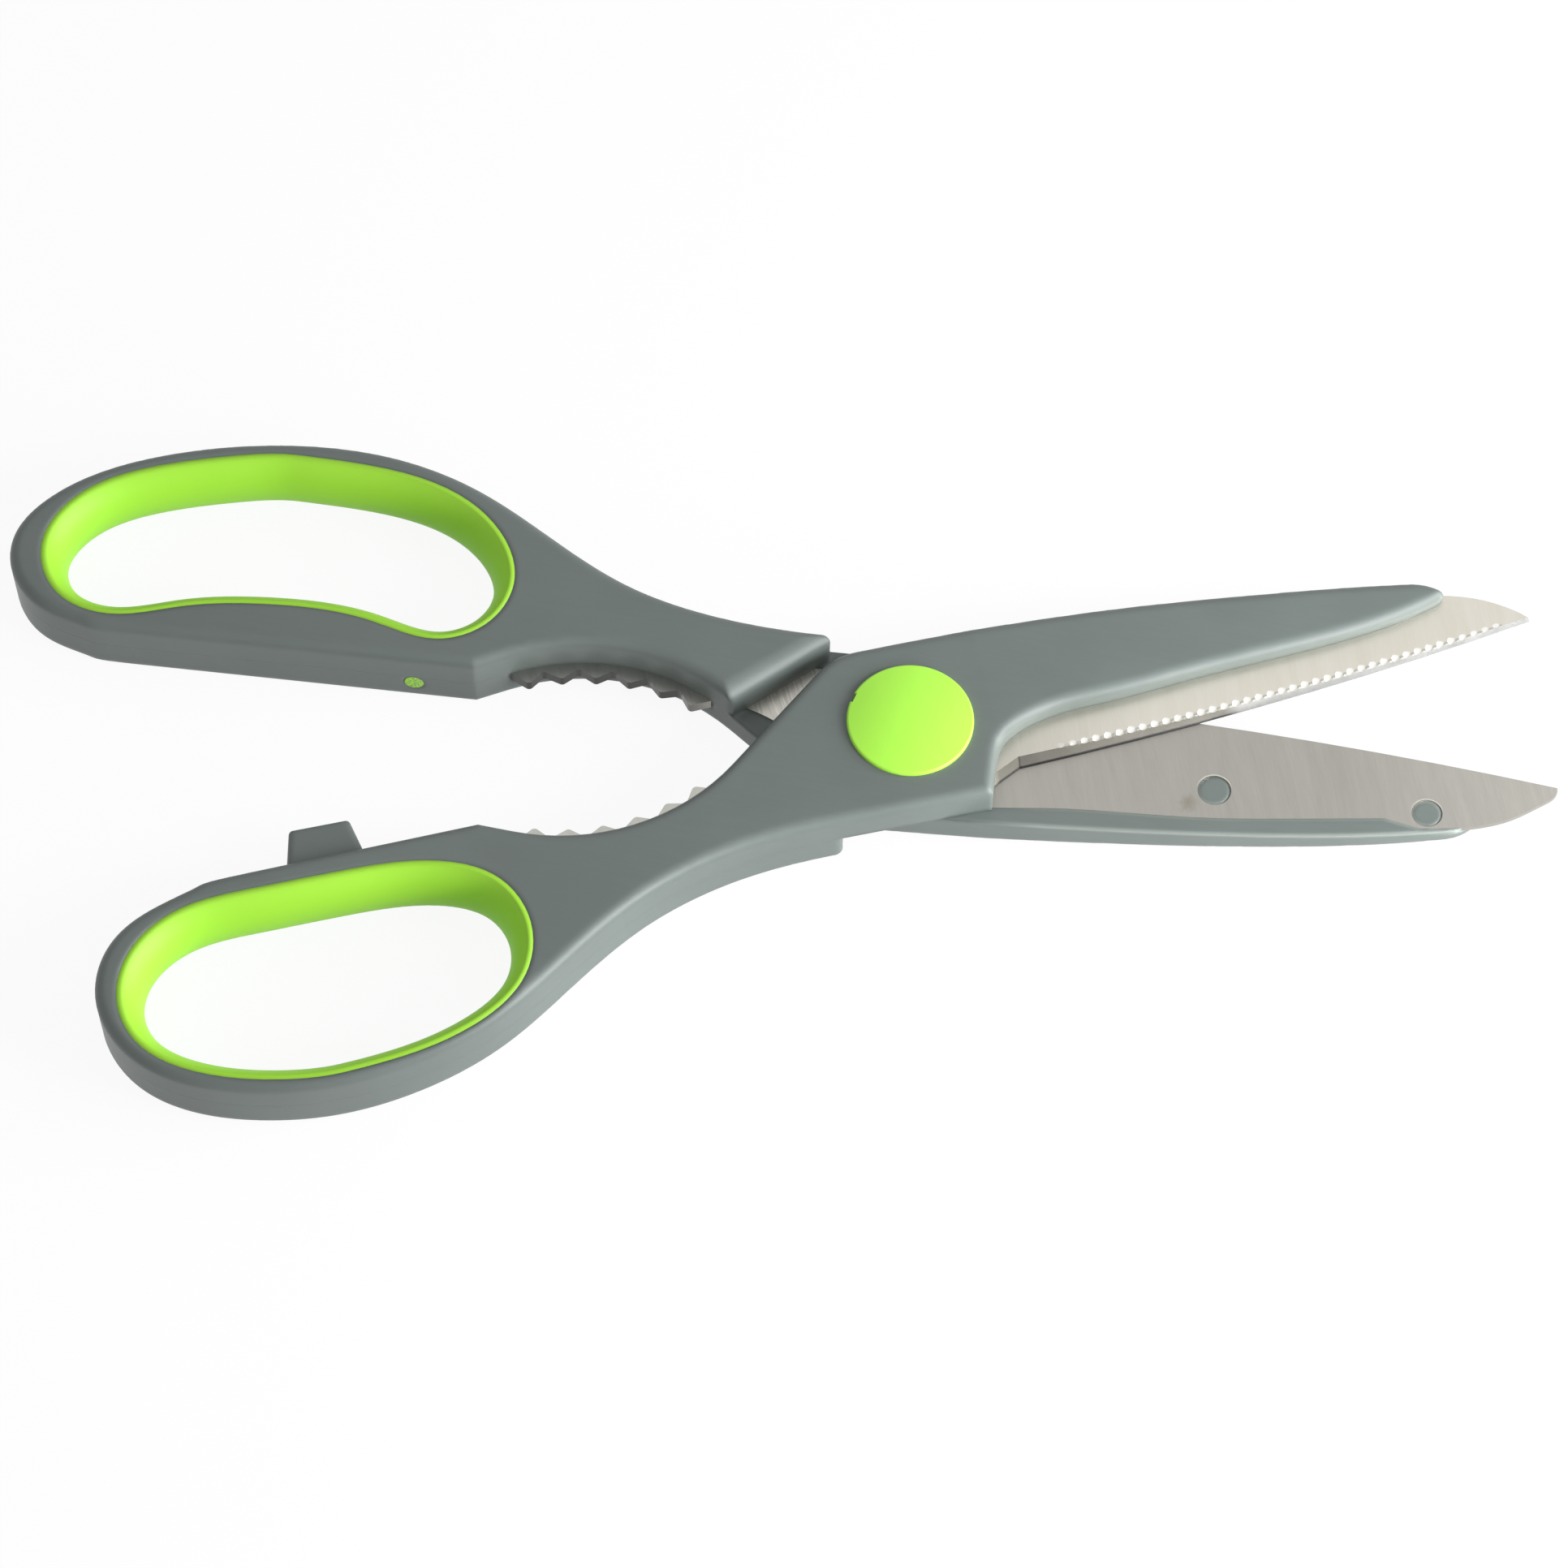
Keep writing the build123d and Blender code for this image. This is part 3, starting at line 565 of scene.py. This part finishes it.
def upper_steel(name):
    """Upper blade: outer face, ground bevel, painted reflections and shade, painted
    serration glints.
    """
    own = finishes()
    finish = Finish(name)
    place = in_upper_half(finish)
    along = finish.split(place, 0)
    lines, bands = grinding_lines(finish, place, 84.0)
    # painted shade on the outer face towards the hub
    face = finish.blend(finish.fade(along, *SHADED_FACE_X), colour(*own.steel_colour),
                        shaded(own.steel_colour, 0.82))
    bevel = finish.fade(finish.facing_up(), *BEVEL_SLOPE)
    tint = finish.blend(bevel * finish.fade(along, *UPPER_BLADE_X), face,
                        bevel_tint(finish, place, along))
    tint = finish.blend(finish.fade(along, *UPPER_TEETH_X), tint, UPPER_TOOTH)
    from_heel, corner = from_edge_corner(along, finish.split(place, 1))
    tint = serrated(finish, tint, bevel, from_heel, corner)
    return ground_steel(finish, tint, lines, bands, 0.5, 0.34 - bevel * 0.02)


def pivot_steel(name):
    """Turned steel of the hidden bolt, washer and nut."""
    finish = Finish(name)
    lines, bands = grinding_lines(finish, finish.place(), 0.0)
    return ground_steel(finish, colour(*finishes().steel_colour), lines, bands)


class SHEARS_OT_handles(bpy.types.Operator):
    """Finish the two grey mouldings and the plug under the pivot"""

    bl_idname = "shears.handles"
    bl_label = "Handles and blade covers"

    def execute(self, context):
        plastic = moulded_plastic("moulded_grey")
        for name in ("large_handle", "small_handle", "rear_cap"):
            dress(name, plastic)
        return {"FINISHED"}


class SHEARS_OT_grips(bpy.types.Operator):
    """Finish the soft linings of the finger loops"""

    bl_idname = "shears.grips"
    bl_label = "Soft grips"

    def execute(self, context):
        rubber = soft_rubber("soft_green")
        for name in ("large_grip", "small_grip"):
            dress(name, rubber)
        return {"FINISHED"}


class SHEARS_OT_blades(bpy.types.Operator):
    """Finish the two steel blades"""

    bl_idname = "shears.blades"
    bl_label = "Steel blades"

    def execute(self, context):
        dress("lower_blade", lower_steel("lower_steel"))
        dress("upper_blade", upper_steel("upper_steel"))
        return {"FINISHED"}


class SHEARS_OT_pivot(bpy.types.Operator):
    """Finish the cap and the hidden bolt, washer and nut of the pivot"""

    bl_idname = "shears.pivot"
    bl_label = "Pivot"

    def execute(self, context):
        dress("front_cap", cap_plastic("cap_green"))
        steel = pivot_steel("pivot_steel")
        for name in ("pivot_bolt", "spring_washer", "pivot_nut"):
            dress(name, steel)
        return {"FINISHED"}


def soft_light(name, place, target, size, power):
    """Large square lamp that looks at a point."""
    lamp = bpy.data.lights.new(name, "AREA")
    lamp.shape = "SQUARE"
    lamp.size = size
    lamp.energy = power
    holder = bpy.data.objects.new(name, lamp)
    bpy.context.scene.collection.objects.link(holder)
    holder.location = place
    aim = Vector(target) - Vector(place)
    holder.rotation_euler = aim.to_track_quat("-Z", "Y").to_euler()


def paper_floor():
    """Pale floor with its shadow, white to the camera."""
    finish = Finish("white_table")
    diffuse = finish.node("ShaderNodeBsdfDiffuse", None,
                          {"Color": colour(TABLE_SHADE, TABLE_SHADE, TABLE_SHADE)})
    glow = finish.node("ShaderNodeEmission", None,
                       {"Color": colour(1, 1, 1), "Strength": 1.02})
    cover = finish.node("ShaderNodeMixShader", None,
                        {0: finish.seen_directly() * 0.90, 1: diffuse, 2: glow})
    finish.node("ShaderNodeOutputMaterial", None, {"Surface": cover})
    return finish.material


def soft_room(strength):
    """World that lights the object softly and stands white behind it."""
    room = Finish("studio", bpy.data.worlds)
    white = room.node("ShaderNodeBackground", None, {"Color": colour(1, 1, 1)})
    light = room.node("ShaderNodeBackground", None,
                      {"Color": colour(1, 1, 1), "Strength": strength})
    shown = room.node("ShaderNodeMixShader", None,
                      {0: room.seen_directly(), 1: light, 2: white})
    room.node("ShaderNodeOutputWorld", None, {"Surface": shown})
    return room.material


def paper_table():
    """Level sheet that the shears lie on."""
    half = TABLE_HALF
    mesh = bpy.data.meshes.new("table")
    mesh.from_pydata([(-half, -half, 0), (half, -half, 0), (half, half, 0),
                      (-half, half, 0)], [], [(0, 1, 2, 3)])
    mesh.materials.append(paper_floor())
    table = bpy.data.objects.new("table", mesh)
    bpy.context.scene.collection.objects.link(table)
    table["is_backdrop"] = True


def place_camera(own):
    """Camera at the photograph's angle."""
    scene = bpy.context.scene
    camera = bpy.data.objects.new("camera", bpy.data.cameras.new("camera"))
    scene.collection.objects.link(camera)
    camera.data.sensor_width = SENSOR_WIDTH
    camera.data.lens = own.lens
    camera.data.clip_start = 0.01
    camera.data.clip_end = 10
    back = Vector((0, -math.cos(own.elevation), math.sin(own.elevation)))
    camera.location = Vector(own.target) + back * own.distance
    camera.rotation_euler = (math.pi / 2 - own.elevation, 0, 0)
    scene.camera = camera


class SHEARS_OT_stage(bpy.types.Operator):
    """Build the table, the soft lights, the world and the camera"""

    bl_idname = "shears.stage"
    bl_label = "Stage"

    def execute(self, context):
        own = context.scene.shears_stage
        paper_table()
        for name, place, target, size, power in LAMPS:
            soft_light(name, place, target, size, getattr(own, power))
        context.scene.world = soft_room(own.room_light)
        place_camera(own)
        context.scene.view_settings.view_transform = "Standard"
        return {"FINISHED"}


OPERATORS = (SHEARS_OT_handles, SHEARS_OT_grips, SHEARS_OT_blades, SHEARS_OT_pivot,
             SHEARS_OT_stage)


class SHEARS_PT_panel(bpy.types.Panel):
    """Panel with the shears' operators and settings"""

    bl_label = "Kitchen shears"
    bl_idname = "SHEARS_PT_panel"
    bl_space_type = "VIEW_3D"
    bl_region_type = "UI"
    bl_category = "Shears"

    def draw(self, context):
        layout = self.layout
        for operator in OPERATORS:
            layout.operator(operator.bl_idname)
        for group in (context.scene.shears_finishes, context.scene.shears_stage):
            box = layout.box()
            for name in group.__annotations__:
                box.prop(group, name)


CLASSES = (ShearsFinishes, ShearsStage, *OPERATORS, SHEARS_PT_panel)


def register():
    """Add the classes and the scene's settings."""
    for item in CLASSES:
        bpy.utils.register_class(item)
    bpy.types.Scene.shears_finishes = bpy.props.PointerProperty(type=ShearsFinishes)
    bpy.types.Scene.shears_stage = bpy.props.PointerProperty(type=ShearsStage)


def unregister():
    """Take them away again."""
    del bpy.types.Scene.shears_stage
    del bpy.types.Scene.shears_finishes
    for item in reversed(CLASSES):
        bpy.utils.unregister_class(item)


def main():
    register()
    bpy.ops.shears.handles()
    bpy.ops.shears.grips()
    bpy.ops.shears.blades()
    bpy.ops.shears.pivot()
    bpy.ops.shears.stage()
    sizes = {"cad": CAD_BOX, "visual": [list(corner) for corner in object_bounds()]}


if __name__ == "__main__":
    main()
